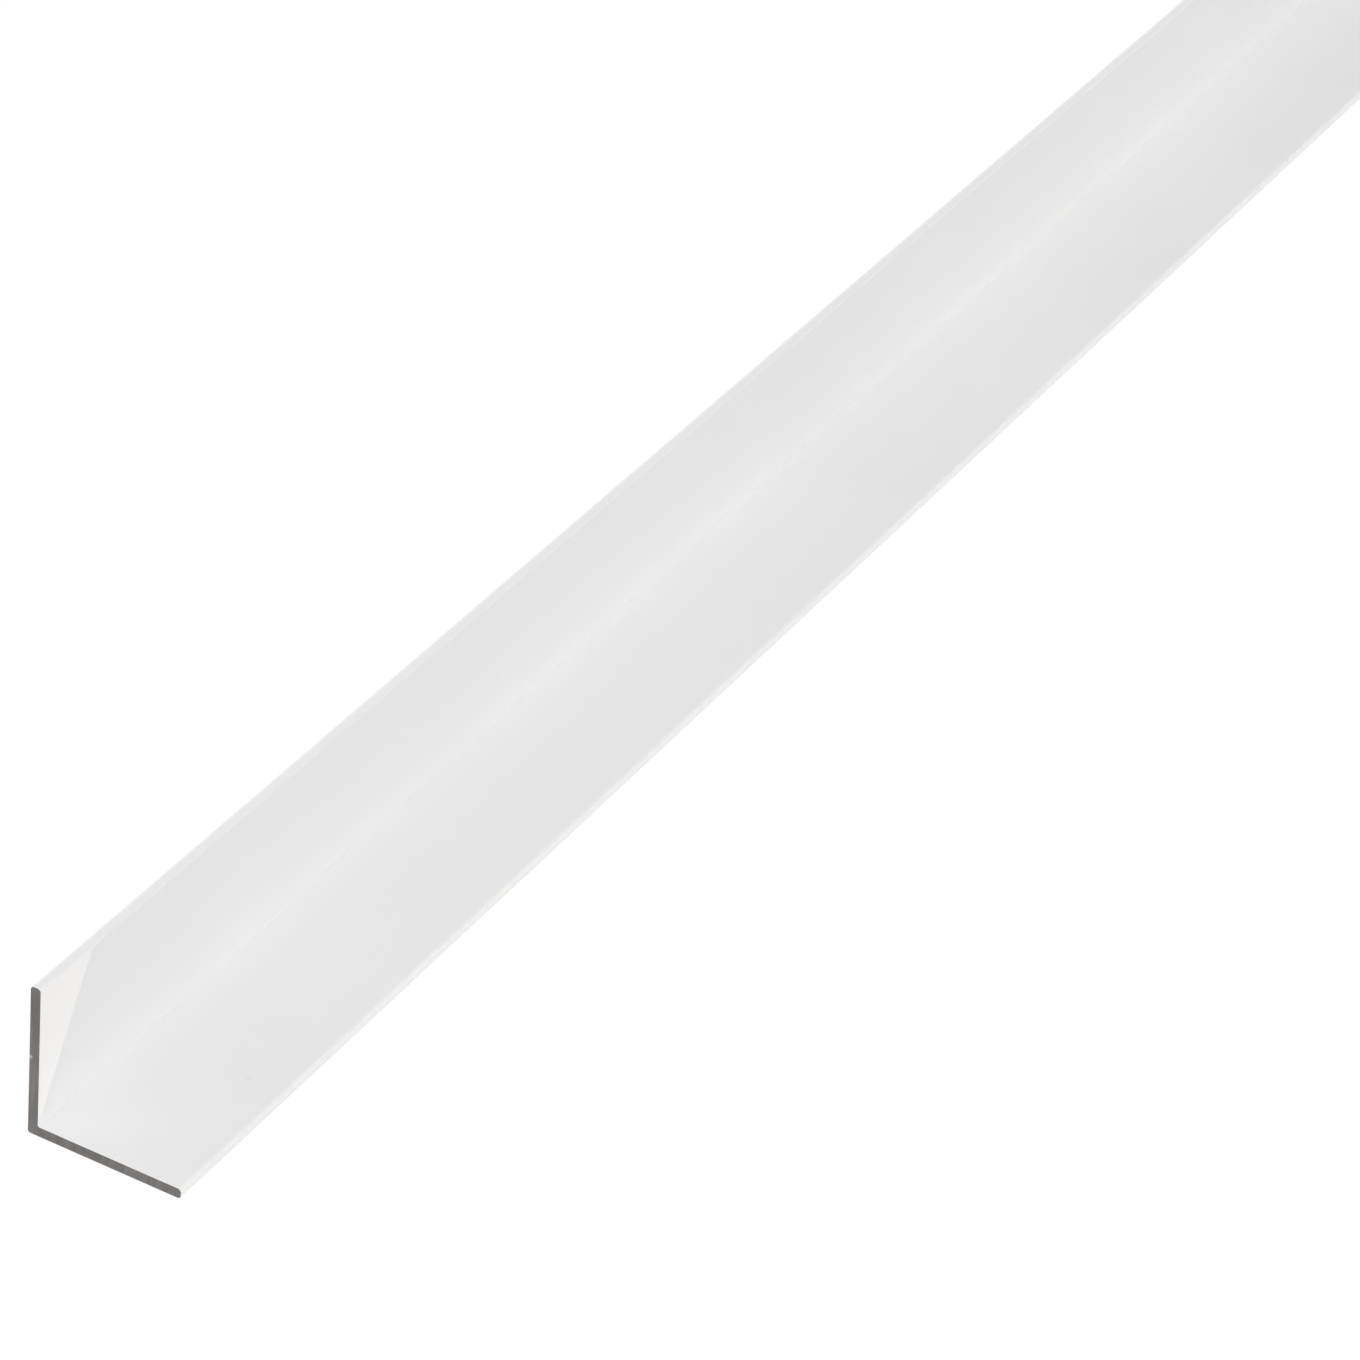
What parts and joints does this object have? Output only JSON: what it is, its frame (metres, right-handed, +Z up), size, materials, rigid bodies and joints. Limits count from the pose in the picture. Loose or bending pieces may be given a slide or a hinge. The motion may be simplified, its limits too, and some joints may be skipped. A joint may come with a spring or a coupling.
{
  "type": "metal angle section",
  "caption": "Straight length of equal-leg metal angle section with a white coat and bare sawn ends, for edging, framing and bracing.",
  "frame": {"origin": "on the floor, under the middle of the bar's box", "axes": "+Y along the bar, +X from the heel to the toe of the lying leg, +Z up the upright leg"},
  "size_m": [0.03, 1, 0.03],
  "materials": {
    "white_coat": "satin",
    "sawn_metal": "matte"
  },
  "bodies": {
    "root": {"angle_section": "white_coat"}
  },
  "joints": []
}
